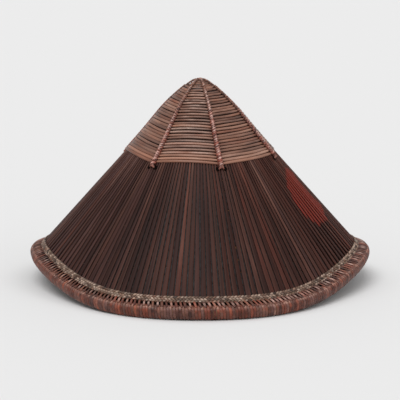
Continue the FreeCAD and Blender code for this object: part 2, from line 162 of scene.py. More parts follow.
def outward(azimuth):
    turn = np.radians(np.asarray(azimuth, float))
    return np.stack([np.sin(turn), -np.cos(turn), np.zeros_like(turn)], axis=-1)


def sideways(azimuth):
    turn = np.radians(np.asarray(azimuth, float))
    return np.stack([np.cos(turn), np.sin(turn), np.zeros_like(turn)], axis=-1)


def at(azimuth, radius, height):
    """Points from cylindrical places, for arrays of any matching shapes."""
    azimuth, radius, height = np.broadcast_arrays(azimuth, radius, height)
    points = outward(azimuth) * radius[..., None]
    points[..., 2] = height
    return points


def on_wall(azimuth, slant, lift):
    """Points a given way down the guide lines, lifted off them along the wall's normal."""
    _, flat, steep = slope(azimuth)
    return at(azimuth, slant * flat + lift * steep, APEX_HEIGHT - slant * steep + lift * flat)


def wall_end(azimuth):
    return slope(azimuth)[0] - WALL_END_DEPTH


def wall_axes(azimuth):
    """Sideways, down-wall and outward-normal directions at an azimuth."""
    flat, steep = (part[..., None] for part in slope(azimuth)[1:])
    out = outward(azimuth)
    return sideways(azimuth), out * flat - UP * steep, out * steep + UP * flat


def panel_edges(index):
    """The azimuths of the ribs each side of a panel."""
    return RIBS[index], RIBS[index + 1] if index < 5 else RIBS[0] + 360


def panel_of(azimuth):
    """The number of the panel an azimuth falls in."""
    turned = (azimuth - RIBS[0]) % 360
    return max(i for i in range(6) if turned >= RIBS[i] - RIBS[0])


# ---------------------------------------------------------------- swept strips
# Sections as (across, up) pairs: across from -1 to 1, up from 0 to 1.
STRIP = np.array(
    [(-1, 0), (-1, 0.5), (-0.82, 0.84), (-0.42, 0.97), (0, 1), (0.42, 0.97), (0.82, 0.84), (1, 0.5), (1, 0)]
)
STRAND = np.array([(math.cos(t), 0.5 + 0.5 * math.sin(t)) for t in np.linspace(math.pi, -math.pi, 11)[:-1]])
BAR_HALF = [(0.35, 1), (0.8, 0.93), (1, 0.7), (1, 0.18), (0.85, 0)]
BAR = np.array([(-across, up) for across, up in BAR_HALF[::-1]] + BAR_HALF)


def ribbon(centre, across, up, section, width, thick):
    """Rings of a section along a centre line. Everything but the section may vary along it."""
    across, up = (np.broadcast_to(way, centre.shape)[:, None] for way in (across, up))
    width, thick = (np.broadcast_to(size, len(centre))[:, None, None] for size in (width, thick))
    return centre[:, None] + across * section[:, :1] * width / 2 + up * section[:, 1:] * thick


def unit(vectors):
    return vectors / np.linalg.norm(vectors, axis=-1, keepdims=True)


def frames(centre, face, loop=False):
    """Across and up directions along a line that faces roughly one way at each of its places."""
    if loop:
        heading = np.roll(centre, -1, axis=0) - np.roll(centre, 1, axis=0)
    else:
        heading = np.gradient(centre, axis=0)
    across = unit(np.cross(heading, face))
    return across, unit(np.cross(across, heading))


SHARP_ANGLE = math.radians(52)


class Bundle:
    """Closed swept strips that become one mesh."""

    def __init__(self, seed):
        self.random = np.random.default_rng(seed)
        self.points, self.loops, self.counts, self.layers = [], [], [], []
        self.size = 0

    def sweep(self, rings, section, width, tone, hue=0.5, wear_and_highlight=None, stain=0.0, loop=False):
        """Adds one strip: rings is (stations, corners, 3), width is what its fibres spread over."""
        stations, corners = rings.shape[:2]
        centre = rings.mean(axis=1)
        steps = np.linalg.norm(np.diff(centre, axis=0), axis=1)
        along = np.concatenate([[0], np.cumsum(steps)])
        grid = (stations, corners)
        fibre = np.zeros(grid + (3,))
        fibre[..., 0] = section[:, 0] * width / 2
        fibre[..., 1] = along[:, None] + self.random.uniform(0, 3)
        fibre[..., 2] = self.random.uniform(0, 60)
        # by default the upper edges are lighter: wear and painted highlight in one layer
        if wear_and_highlight is None:
            wear_and_highlight = np.abs(section[:, 0]) ** 4 * (section[:, 1] > 0.3)
        looks = [np.broadcast_to(value, grid)[..., None] for value in (tone, hue, wear_and_highlight, stain)]
        self.layers.append(np.concatenate([fibre, *looks], axis=-1).reshape(-1, 7))
        spans = stations if loop else stations - 1
        start = np.arange(spans)[:, None] * corners
        step = (start + corners) % (stations * corners) - start
        first = start + np.arange(corners)
        after = np.roll(first, -1, axis=1)
        quads = np.stack([first, after, after + step, first + step], axis=-1).reshape(-1, 4)
        flat = rings.reshape(-1, 3)
        q = flat[quads] - flat.mean(axis=0)
        volume = np.einsum("ij,ij->", q[:, 0], np.cross(q[:, 1], q[:, 2]) + np.cross(q[:, 2], q[:, 3]))
        caps = [] if loop else [np.arange(corners)[::-1], np.arange(corners) + (stations - 1) * corners]
        if volume < 0:
            quads = quads[:, ::-1]
            caps = [cap[::-1] for cap in caps]
        self.points.append(flat)
        self.loops.append(quads.ravel() + self.size)
        self.counts.append(np.full(len(quads), 4))
        for cap in caps:
            self.loops.append(cap + self.size)
            self.counts.append(np.array([corners]))
        self.size += len(flat)

    def lay(self, centre, face, section, width, thick, fibre_width, tone, hue, wear_and_highlight, loop=False):
        """Sweeps a section along a centre line, its outer side turned to face."""
        across, up = frames(centre, face, loop)
        rings = ribbon(centre, across, up, section, width, thick)
        self.sweep(rings, section, fibre_width, tone, hue, wear_and_highlight, loop=loop)

    def make(self, name, material, slot, *nodes):
        """The bundle as a piece on the root body that stands for its CAD nodes."""
        points = np.concatenate(self.points)
        loops = np.concatenate(self.loops)
        counts = np.concatenate(self.counts)
        mesh = bpy.data.meshes.new(name)
        mesh.vertices.add(len(points))
        mesh.vertices.foreach_set("co", points.astype(np.float32).ravel())
        mesh.loops.add(len(loops))
        mesh.loops.foreach_set("vertex_index", loops.astype(np.int32))
        mesh.polygons.add(len(counts))
        starts = np.concatenate([[0], np.cumsum(counts)[:-1]])
        mesh.polygons.foreach_set("loop_start", starts.astype(np.int32))
        mesh.update(calc_edges=True)
        mesh.polygons.foreach_set("use_smooth", np.ones(len(counts), bool))
        mesh.set_sharp_from_angle(angle=SHARP_ANGLE)
        layers = np.concatenate(self.layers).astype(np.float32)
        fibre = mesh.attributes.new("fibre", "FLOAT_VECTOR", "POINT")
        fibre.data.foreach_set("vector", layers[:, :3].ravel())
        for column, layer in enumerate(("tone", "hue", "wear_and_highlight", "stain"), start=3):
            attribute = mesh.attributes.new(layer, "FLOAT", "POINT")
            attribute.data.foreach_set("value", layers[:, column].copy())
        mesh.materials.append(material)
        piece = bpy.data.objects.new(name, mesh)
        bpy.context.scene.collection.objects.link(piece)
        if nodes:
            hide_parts(*nodes)
        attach(piece, "root")
        return piece


def smooth_noise(random, places, spacing, size):
    """A wandering value along places, with bends about spacing apart."""
    knots = np.arange(places.min() - spacing, places.max() + 2 * spacing, spacing)
    values = random.uniform(-size, size, len(knots))
    t = (places - knots[0]) / spacing
    i = np.clip(t.astype(int), 0, len(knots) - 2)
    f = t - i
    f = f * f * (3 - 2 * f)
    return values[i] * (1 - f) + values[i + 1] * f


# ---------------------------------------------------------------- materials
def srgb(red, green, blue):
    """A colour from its screen values, 0 to 255."""
    channels = [c / 255 for c in (red, green, blue)]
    return [c / 12.92 if c < 0.04 else ((c + 0.055) / 1.055) ** 2.4 for c in channels] + [1]


class Shader:
    """A material and the nodes added to it."""

    def __init__(self, name):
        self.material = bpy.data.materials.new(name)
        self.material.use_nodes = True
        self.tree = self.material.node_tree
        self.surface = self.tree.nodes["Principled BSDF"]

    def put(self, kind, inputs=(), **settings):
        node = self.tree.nodes.new("ShaderNode" + kind)
        for name, value in settings.items():
            setattr(node, name, value)
        for key, value in dict(inputs).items():
            self.feed(node.inputs[key], value)
        return node

    def feed(self, socket, value):
        if isinstance(value, bpy.types.NodeSocket):
            self.tree.links.new(value, socket)
        else:
            socket.default_value = value

    def layer(self, name, output="Fac"):
        return self.put("Attribute", attribute_name=name).outputs[output]

    def noise(self, vector, scale, detail=3, distortion=0.0):
        """Noise read at a vector stretched by a scale for each of its parts."""
        mapping = self.put("Mapping", {"Vector": vector, "Scale": scale})
        inputs = {"Vector": mapping.outputs[0], "Scale": 1, "Detail": detail, "Distortion": distortion}
        return self.put("TexNoise", inputs).outputs["Fac"]

    def math(self, operation, first, second=0.0, clamp=False):
        return self.put("Math", {0: first, 1: second}, operation=operation, use_clamp=clamp).outputs[0]

    def about_half(self, value, gain):
        """A noise value turned into a swing about zero."""
        return self.math("MULTIPLY", self.math("SUBTRACT", value, 0.5), gain)

    def mix(self, factor, first, second, blend="MIX"):
        inputs = {"Fac": factor, "Color1": first, "Color2": second}
        return self.put("MixRGB", inputs, blend_type=blend).outputs[0]

    def ramp(self, factor, stops):
        node = self.put("ValToRGB", {"Fac": factor})
        while len(node.color_ramp.elements) < len(stops):
            node.color_ramp.elements.new(0.5)
        for element, (place, colour) in zip(node.color_ramp.elements, stops):
            element.position = place
            element.color = colour
        return node.outputs[0]

    def span(self, value, low, high):
        inputs = {"Value": value, "To Min": low, "To Max": high}
        return self.put("MapRange", inputs).outputs[0]


TONES = (0.0, 0.4, 0.75, 1.0)
BUMP = 0.35


def strip_material(
    name, palette, cool, warm, wear_and_highlight, rough, sheen=0.3, grain=2600, stain=None, cover=0.45, tones=TONES
):
    """Split cane or bamboo: streaks along the fibre over a tone and hue that change strip by strip."""
    shader = Shader(name)
    shader.surface.inputs["Specular IOR Level"].default_value = sheen
    fibre = shader.layer("fibre", "Vector")
    streak = shader.noise(fibre, (grain, grain / 60, 1), 4)
    blotch = shader.noise(fibre, (240, 26, 1), 3)
    speck = shader.noise(fibre, (900, 420, 1), 2)
    value = shader.math("ADD", shader.layer("tone"), shader.about_half(streak, 0.55))
    value = shader.math("ADD", value, shader.about_half(blotch, 0.5), clamp=True)
    colour = shader.ramp(value, [(place, srgb(*screen)) for place, screen in zip(tones, palette)])
    hue = shader.layer("hue")
    shifted = shader.math("ADD", hue, shader.about_half(blotch, 0.5))
    cooler = shader.math("MULTIPLY", shader.math("SUBTRACT", 0.5, shifted), 2.0, clamp=True)
    warmer = shader.math("MULTIPLY", shader.math("SUBTRACT", shifted, 0.5), 2.0, clamp=True)
    colour = shader.mix(cooler, colour, shader.mix(1.0, colour, (*cool, 1), "MULTIPLY"))
    colour = shader.mix(warmer, colour, shader.mix(1.0, colour, (*warm, 1), "MULTIPLY"))
    # the stain layer is a real stain on the splints and painted shade on the lining
    if stain:
        patch = shader.math("ADD", shader.layer("stain"), shader.about_half(blotch, 0.9))
        patch = shader.math("MULTIPLY", shader.math("SUBTRACT", patch, 0.3), 2.6, clamp=True)
        patch = shader.math("MULTIPLY", patch, shader.span(streak, cover, 1.0))
        colour = shader.mix(patch, colour, srgb(*stain))
    # one layer lightens places for real wear and for painted highlights
    wear_and_highlight_mask = shader.math("MULTIPLY", shader.layer("wear_and_highlight"), shader.span(speck, 0.0, 1.3), clamp=True)
    colour = shader.mix(wear_and_highlight_mask, colour, srgb(*wear_and_highlight))
    shader.feed(shader.surface.inputs["Base Color"], colour)
    gloss = shader.math("ADD", shader.span(streak, *rough), shader.about_half(blotch, 0.25), clamp=True)
    shader.feed(shader.surface.inputs["Roughness"], gloss)
    height = shader.math("ADD", streak, shader.math("MULTIPLY", speck, 0.5))
    inputs = {"Strength": BUMP, "Distance": 0.12 * MM, "Height": height}
    shader.feed(shader.surface.inputs["Normal"], shader.put("Bump", inputs).outputs[0])
    return shader.material


# Each cane: its screen colours from dark to light, what cooler and warmer strips are multiplied by, the
# colour of rubbed places and of painted highlights, its roughness from glossy to dull streaks, and
# whatever else it needs.
CANES = {
    "dark_splint": {
        "palette": [(22, 10, 8), (50, 28, 23), (72, 44, 37), (106, 76, 66)],
        "cool": (0.9, 1.06, 1.36),
        "warm": (1.25, 0.78, 0.68),
        "wear_and_highlight": (122, 90, 76),
        "rough": (0.36, 0.6),
        "sheen": 0.1,
        "stain": (122, 44, 34),
    },
    "cap_cane": {
        "palette": [(34, 18, 14), (112, 74, 58), (152, 110, 90), (196, 158, 138)],
        "cool": (0.9, 1.0, 1.14),
        "warm": (1.15, 0.84, 0.7),
        "wear_and_highlight": (204, 172, 156),
        "rough": (0.28, 0.5),
        "sheen": 0.35,
    },
    "binding_cane": {
        "palette": [(66, 36, 28), (124, 78, 62), (162, 110, 92), (212, 170, 152)],
        "cool": (0.98, 1.1, 1.06),
        "warm": (1.1, 0.66, 0.6),
        "wear_and_highlight": (226, 192, 180),
        "rough": (0.25, 0.45),
        "sheen": 0.35,
    },
    "rim_cane": {
        "palette": [(52, 27, 22), (96, 58, 48), (128, 84, 70), (180, 136, 118)],
        "cool": (0.84, 0.98, 1.2),
        "warm": (1.32, 0.8, 0.6),
        "wear_and_highlight": (186, 146, 130),
        "rough": (0.28, 0.5),
    },
    "braid_cane": {
        "palette": [(40, 26, 20), (84, 62, 50), (122, 96, 80), (184, 158, 138)],
        "cool": (0.92, 1.04, 0.98),
        "warm": (1.14, 0.86, 0.78),
        "wear_and_highlight": (204, 178, 160),
        "rough": (0.3, 0.55),
    },
    "lining_bamboo": {
        "palette": [(96, 70, 44), (140, 108, 72), (172, 140, 98), (200, 172, 128)],
        "cool": (0.9, 1.0, 1.0),
        "warm": (1.1, 0.9, 0.78),
        "wear_and_highlight": (196, 166, 124),
        "rough": (0.45, 0.7),
        # on the lining the stain is painted shade over its outer face
        "stain": (20, 9, 7),
        "cover": 1.0,
    },
    "split_bamboo": {
        "palette": [(92, 62, 36), (138, 98, 62), (168, 128, 86), (194, 158, 114)],
        "cool": (0.92, 1.0, 0.98),
        "warm": (1.1, 0.88, 0.74),
        "wear_and_highlight": (186, 148, 108),
        "rough": (0.35, 0.6),
        "grain": 1800,
    },
    # painted shade: the dark inside of a lashing hole, a slot or a gap between cap strips, and the channel
    # behind the braid
    "hole_shade": {
        "palette": [(10, 5, 4), (26, 15, 12)],
        "tones": (0.0, 1.0),
        "cool": (1, 1, 1),
        "warm": (1, 1, 1),
        "wear_and_highlight": (44, 28, 22),
        "rough": (0.8, 0.95),
        "sheen": 0.05,
    },
}


def wood_material(name, depth):
    """Plain bamboo where a CAD solid shows, darkened by depth: grain follows the solid's own axes."""
    shader = Shader(name)
    spot = shader.put("TexCoord").outputs["Object"]
    grain = shader.noise(spot, (900, 900, 70), 4)
    cloud = shader.noise(spot, (60, 60, 25), 2)
    value = shader.math("ADD", grain, shader.about_half(cloud, 0.7), clamp=True)
    stops = []
    for place, screen in ((0.2, (84, 56, 36)), (0.55, (128, 92, 62)), (0.85, (160, 124, 88))):
        stops.append((place, [channel * depth for channel in srgb(*screen)[:3]] + [1]))
    shader.feed(shader.surface.inputs["Base Color"], shader.ramp(value, stops))
    shader.feed(shader.surface.inputs["Roughness"], shader.span(grain, 0.45, 0.75))
    inputs = {"Strength": 0.3, "Distance": 0.2 * MM, "Height": grain}
    shader.feed(shader.surface.inputs["Normal"], shader.put("Bump", inputs).outputs[0])
    return shader.material


# ---------------------------------------------------------------- radial splints
# The brick-red patch on the right: radius (mm) and azimuth of each corner of its outline.
STAIN_OUTLINE = (
    (106, 80), (116, 65), (131, 62), (144, 63), (155, 67), (160, 76), (150, 84), (128, 81), (114, 84)
)
STAIN_FADE = 5 * MM


def stain_at(azimuth, radius):
    """How deep a place lies inside the stained patch, from 0 outside to 1."""
    corners = []
    for reach, turn in STAIN_OUTLINE:
        turn = math.radians(turn)
        corners.append((reach * MM * math.cos(turn), reach * MM * math.sin(turn)))
    x = radius * np.cos(np.radians(azimuth))
    y = radius * np.sin(np.radians(azimuth))
    inside = np.zeros(x.shape, bool)
    nearest = np.full(x.shape, 1.0)
    for (x0, y0), (x1, y1) in zip(corners, corners[1:] + corners[:1]):
        crosses = (y0 > y) != (y1 > y)
        inside ^= crosses & (x < (x1 - x0) * (y - y0) / (y1 - y0 + 1e-12) + x0)
        share = ((x - x0) * (x1 - x0) + (y - y0) * (y1 - y0)) / ((x1 - x0) ** 2 + (y1 - y0) ** 2)
        share = np.clip(share, 0, 1)
        nearest = np.minimum(nearest, np.hypot(x - x0 - share * (x1 - x0), y - y0 - share * (y1 - y0)))
    depth = np.where(inside, nearest, -nearest)
    return np.clip(0.5 + depth / STAIN_FADE, 0, 1)


SPLINT_STATIONS = 44
SPLINT_TWIST = 0.09
UNDER_CAP = 200 * MM
UNDER_CAP_FADE = 80 * MM


def add_splint(bundle, index):
    """One long thin strip from under the cap to the rim, a little uneven as if split by hand."""
    random = bundle.random
    middle = (index + 0.5) * PITCH
    start = LONG_SPLINT_START if index % LONG_SPLINT_EVERY == 0 else SHORT_SPLINT_START
    slant = np.linspace(start, float(wall_end(middle)), SPLINT_STATIONS)
    length, flat = slope(middle)[:2]
    wander = smooth_noise(random, slant, 60 * MM, 0.32 * MM) * np.clip(slant / UNDER_CAP, 0, 1)
    gap = (0.45 + 1.15 * slant / length) * MM * random.uniform(0.7, 1.35)
    reach = np.maximum(slant, SHORT_SPLINT_START) * flat
    half = reach * math.radians(PITCH) / 2 - gap / 2 + smooth_noise(random, slant, 45 * MM, 0.22 * MM)
    aside, _, up = wall_axes(middle)
    centre = on_wall(middle, slant, 0) + aside * wander[:, None]
    across = aside + up * random.uniform(-SPLINT_TWIST, SPLINT_TWIST)
    bow = (0.1 * MM + smooth_noise(random, slant, 80 * MM, 0.12 * MM))[:, None]
    rings = ribbon(centre + up * bow, across, up, STRIP, 2 * half, SPLINT_THICK)
    side = math.sin(math.radians(middle))
    near_cap = np.clip((UNDER_CAP - slant) / UNDER_CAP_FADE, 0, 1)[:, None]
    tone = random.normal(0.45, 0.09) + smooth_noise(random, slant, 70 * MM, 0.12)[:, None]
    # painted light: splints lighter towards the left and right sides and near the cap, where more light
    # falls
    tone = tone + 0.12 * abs(side) + 0.2 * near_cap
    hue = np.clip(0.48 + 0.16 * side + random.normal(0, 0.13), 0.1, 0.75)
    radius = np.hypot(rings[..., 0], rings[..., 1])
    # lighter rubbed edges, wear and painted highlight in one, stronger near the cap
    rub_and_highlight = random.uniform(0.1, 0.9) * (1 + near_cap)
    rub_and_highlight = rub_and_highlight * (0.6 + smooth_noise(random, slant, 50 * MM, 0.4))[:, None]
    rubbed_and_lit_edge = np.abs(STRIP[:, 0]) ** 4 * (STRIP[:, 1] > 0.7)
    wear_and_highlight = np.maximum(rubbed_and_lit_edge * np.sign(STRIP[:, 0] * random.normal() + 0.6) * rub_and_highlight, 0)
    bundle.sweep(rings, STRIP, 6 * MM, tone, hue, wear_and_highlight, stain_at(middle, radius))


def make_splints(material):
    panels = [Bundle(100 + i) for i in range(6)]
    for index in range(SPLINT_COUNT):
        add_splint(panels[panel_of((index + 0.5) * PITCH)], index)
    for name, bundle in zip(PANELS, panels):
        bundle.make("splints_" + name, material, "dark_bamboo_splint", "outer_splints_" + name)


# ---------------------------------------------------------------- woven lining
WEAVE_PITCH = 7.0 * MM
WEAVE_STRIP = 6.4 * MM
WEAVE_LEVEL = -0.92 * MM
WEAVE_WAVE = 0.27 * MM
WEAVE_THICK = 0.6 * MM
ROUND_STRIP = np.array([(math.cos(t), max(0.0, math.sin(t)) ** 0.85) for t in np.linspace(math.pi, 0, 11)])
FLAT_STRIP = np.array([(-1, 0), (-0.96, 0.8), (-0.6, 1), (0.6, 1), (0.96, 0.8), (1, 0)])


def unrolled(left, right):
    """The way from places on a panel's unrolled cone to azimuth and slant."""
    middle = (left + right) / 2
    flat = float(slope(middle)[1])

    def to_wall(x, y):
        return middle + np.degrees(np.arctan2(y, x)) / flat, np.hypot(x, y)

    return to_wall


def add_woven_run(bundle, to_wall, start, way, offset, family, places):
    """One strip of the weave between two places along its line."""
    normal = np.array([-way[1], way[0]])
    line = start + way[None, :] * places[:, None]
    u = FLAT_STRIP[:, 0] * WEAVE_STRIP / 2
    x = line[:, 0, None] + normal[0] * u
    y = line[:, 1, None] + normal[1] * u
    azimuth, slant = to_wall(x, y)
    crossing = np.cos(math.pi * (places / WEAVE_PITCH + offset + family))
    lift = WEAVE_LEVEL + WEAVE_WAVE * crossing[:, None] + WEAVE_THICK * FLAT_STRIP[:, 1]
    rings = on_wall(azimuth, slant, lift)
    tone = bundle.random.normal(0.42, 0.14)
    # painted shade: the lining's outer face, seen between the splints, is stained near-black
    painted_shade = 1.6 * (FLAT_STRIP[:, 1] > 0.5)
    bundle.sweep(rings, FLAT_STRIP, WEAVE_STRIP, tone, bundle.random.normal(0.5, 0.12), 0.0, painted_shade)


def add_gore(bundle, left, right):
    """The weave between two ribs, its strips crossing at right angles on the unrolled cone."""
    to_wall = unrolled(left, right)
    reach = float(slope((left + right) / 2)[0]) * 1.05
    lines = int(reach / WEAVE_PITCH) + 2
    places = np.arange(-reach * 1.2, reach * 1.2, WEAVE_PITCH / 4)
    for family, heading in enumerate((45, -45)):
        way = np.array([math.cos(math.radians(heading)), math.sin(math.radians(heading))])
        normal = np.array([-way[1], way[0]])
        for k in range(-lines, lines + 1):
            start = normal * k * WEAVE_PITCH
            line = start + way[None, :] * places[:, None]
            azimuth, slant = to_wall(line[:, 0], line[:, 1])
            inside = (azimuth > left) & (azimuth < right) & (line[:, 0] > 0)
            inside &= (slant > LINING_START) & (slant < wall_end(azimuth))
            edges = np.flatnonzero(np.diff(np.concatenate([[0], inside.astype(int), [0]])))
            for first, last in zip(edges[::2], edges[1::2]):
                if last - first >= 3:
                    add_woven_run(bundle, to_wall, start, way, k, family, places[first:last])


def make_linings(material):
    for index, name in enumerate(PANELS):
        bundle = Bundle(200 + index)
        add_gore(bundle, *panel_edges(index))
        bundle.make("lining_" + name, material, "woven_bamboo_lining", "woven_lining_" + name)


# ---------------------------------------------------------------- woven cap
CAP_PITCH = (CAP_PANEL_SLANT - CAP_TOP_SLANT) / (CAP_ROWS - 1)
CROWN_ROWS = 5
CROWN_DOME_TOP = 248.5 * MM
CROWN_ROUNDING = 2.9 * MM
CROWN_REACH = 75 * MM
CAP_WIDENING = {"left_front": 0.75 * MM, "right_front": 0.2 * MM, "front": -0.1 * MM}
CAP_STATIONS = 27
CLOSE_ROWS = 3
CROWN_FIRST = 3.4 * MM
CROWN_PITCH = 3.3 * MM
CROWN_STRIP = 3.1 * MM
CROWN_CURVE = 1.7


def swell(slant):
    """How far the cap stands proud of the wall: a gentle belly that rounds inward at the crown."""
    belly = CAP_SWELL * np.exp(-(((slant - CAP_SWELL_SLANT) / CAP_SWELL_REACH) ** 2))
    near = np.maximum(CROWN_REACH - slant, 0) / (CROWN_REACH - CAP_TOP_SLANT)
    return belly - CROWN_ROUNDING * near**2


def cap_course(azimuth, left, right):
    """How far down a cap strip runs at an azimuth, as a share of the slant at its panel's middle."""
    middle = (left + right) / 2
    straight = 1 / np.cos(np.radians(azimuth - middle) * float(slope(middle)[1]))
    return 1 + CAP_SAG * (straight - 1)


def add_cap_strip(bundle, left, right, row, widening):
    """A strip from rib to rib, a little lower at its ends, with hand-laid unevenness."""
    random = bundle.random
    slant = CAP_TOP_SLANT + row * CAP_PITCH
    azimuth = np.linspace(left, right, CAP_STATIONS)
    share = (azimuth - left) / (right - left)
    crowd = 0.25 * MM * math.sin(row * 2.1 + left)
    skew = random.normal(0, 0.22 * MM) * (share - 0.5) * 2
    bow = random.normal(0, 0.22 * MM) * 4 * share * (1 - share)
    here = slant * cap_course(azimuth, left, right) + crowd * random.uniform(0.4, 1) + skew + bow
    here = here + smooth_noise(random, azimuth, 14, 0.12 * MM)
    last = row >= CAP_ROWS - CLOSE_ROWS
    closing = 0.5 * MM * min(row / CAP_ROWS, 1) + (0.2 * MM if last else 0)
    pinch = 0.72 + 0.28 * np.clip(np.minimum(share, 1 - share) * 9, 0, 1)
    width = (CAP_STRIP_WIDTH - 0.4 * MM + closing + widening) * random.uniform(0.9, 1.06) * pinch
    lift = SPLINT_THICK + 0.1 * MM + swell(here) + smooth_noise(random, azimuth, 12, 0.12 * MM)
    slants = here[:, None] + ROUND_STRIP[:, 0] * width[:, None] / 2
    lifts = lift[:, None] + ROUND_STRIP[:, 1] * CAP_STRIP_THICK * 1.1
    rings = on_wall(azimuth[:, None], slants, lifts)
    tone = random.normal(0.44, 0.1) + smooth_noise(random, azimuth, 16, 0.1)[:, None]
    # painted shade: each strip darker down its sides, towards the gaps
    tone = tone - 0.32 * (1 - ROUND_STRIP[:, 1])
    # painted highlight: the lighter crest, strong only on the front panel above its last rows
    crest_highlight_wander = (0.5 + smooth_noise(random, azimuth, 9, 0.5))[:, None]
    highlight_strength = random.uniform(0.3, 1.0) * (0.25 if widening > 0 or last else 1)
    wear_and_highlight = np.clip(ROUND_STRIP[:, 1] * 1.6 - 0.75, 0, 1) * crest_highlight_wander * highlight_strength
    hue = random.normal(0.5, 0.14) + smooth_noise(random, azimuth, 9, 0.12)[:, None]
    bundle.sweep(rings, ROUND_STRIP, CAP_STRIP_WIDTH, tone, hue, wear_and_highlight)


def dome_height(radius):
    """The rounded crown above the last full row."""
    edge_point = on_wall(0.0, CAP_TOP_SLANT, SPLINT_THICK + swell(CAP_TOP_SLANT))
    rim_radius = float(np.hypot(edge_point[0], edge_point[1]))
    drop = CROWN_DOME_TOP - CAP_STRIP_THICK - edge_point[2]
    return CROWN_DOME_TOP - CAP_STRIP_THICK - drop * (radius / rim_radius) ** CROWN_CURVE


def add_crown_strip(bundle, left, right, row):
    """A short strip over the dome, level between two ribs."""
    random = bundle.random
    radius = CROWN_FIRST + CROWN_PITCH * row
    azimuth = np.linspace(left, right, 15)
    centre = at(azimuth, radius, dome_height(radius))
    fall = (dome_height(radius + 0.5 * MM) - dome_height(radius - 0.5 * MM)) / MM
    up = unit(UP - outward(azimuth) * fall)
    across = unit(outward(azimuth) + UP * fall)
    rings = ribbon(centre, across, up, ROUND_STRIP, CROWN_STRIP, CAP_STRIP_THICK)
    # painted shade: each strip darker down its sides
    tone = random.normal(0.44, 0.1) - 0.3 * (1 - ROUND_STRIP[:, 1])
    bundle.sweep(rings, ROUND_STRIP, CAP_STRIP_WIDTH, tone, random.normal(0.55, 0.12), 0.0)


def add_cap_gap_shade(bundle, left, right):
    """Painted shade between the cap strips: a dark sheet under them, seen only in the gaps between them."""
    across = np.linspace(-1, 1, 15)
    section = np.array([(a, 1) for a in across] + [(a, 0) for a in across[::-1]])
    azimuth = (left + right) / 2 + (right - left) / 2 * section[:, 0]
    middle_slant = np.linspace(CAP_TOP_SLANT, CAP_PANEL_SLANT - 1 * MM, 40)[:, None]
    slant = middle_slant * cap_course(azimuth, left, right)
    lift = SPLINT_THICK - 0.25 * MM + swell(slant) + 0.45 * MM * section[:, 1]
    bundle.sweep(on_wall(azimuth, slant, lift), section, 60 * MM, 1.0, 0.6, 0.0)


def make_cap(material, shade):
    for index, name in enumerate(PANELS):
        gap_shade = Bundle(330 + index)
        add_cap_gap_shade(gap_shade, *panel_edges(index))
        gap_shade.make("cap_gap_shade_" + name, shade, "cap_rattan")
        bundle = Bundle(300 + index)
        left, right = panel_edges(index)
        for row in range(CAP_ROWS):
            add_cap_strip(bundle, left, right, row, CAP_WIDENING.get(name, 0.1 * MM))
        for row in range(CROWN_ROWS):
            add_crown_strip(bundle, left, right, row)
        bundle.make("cap_" + name, material, "cap_rattan", "cap_strips_" + name)


# ---------------------------------------------------------------- lashed cap ribs
CAP_FACE = SPLINT_THICK + CAP_STRIP_THICK
LASH_WIDTH = 1.9 * MM
LASH_THICK = 0.95 * MM
LASH_START = 9 * MM
LASH_PITCH = CAP_PITCH * 0.72
OVER_LASHING = 0.35 * MM
RIB_CORE_START = 5 * MM
RIB_LEAST_SCALE = 0.5


def rib_scale(slant):
    """A rib's size as a share of its size at the foot."""
    down = (slant - CAP_TOP_SLANT) / (RIB_FOOT_SLANT - CAP_TOP_SLANT)
    return np.maximum(RIB_TOP_SHARE + (1 - RIB_TOP_SHARE) * down, RIB_LEAST_SCALE)


def rib_line(azimuth, slant):
    """Centre of a rib's seat and its up direction, going on over the crown above the wall."""
    on_cap = np.maximum(slant, CAP_TOP_SLANT)
    wall = on_wall(azimuth, on_cap, CAP_FACE + swell(on_cap))
    up_wall = wall_axes(azimuth)[2]
    reach = float(np.hypot(*on_wall(azimuth, CAP_TOP_SLANT, CAP_FACE + swell(CAP_TOP_SLANT))[:2]))
    share = np.clip(slant / CAP_TOP_SLANT, 0, 1)
    radius = reach * share
    crown = at(azimuth, radius, dome_height(radius * 0.94) + CAP_STRIP_THICK)
    up_crown = unit(outward(azimuth) * (0.75 * share[:, None]) + UP)
    on_cone = (slant >= CAP_TOP_SLANT)[:, None]
    return np.where(on_cone, wall, crown), np.where(on_cone, up_wall, up_crown)


def add_rib_core(bundle, azimuth):
    slant = np.linspace(RIB_CORE_START, RIB_FOOT_SLANT, 50)
    centre, up = rib_line(azimuth, slant)
    scale = rib_scale(slant)
    width = (RIB_WIDTH - 1.6 * MM) * scale
    rings = ribbon(centre, sideways(azimuth), up, BAR, width, (RIB_TALL - LASH_THICK) * scale)
    bundle.sweep(rings, BAR, RIB_WIDTH, 0.15, 0.5, wear_and_highlight=0.0)


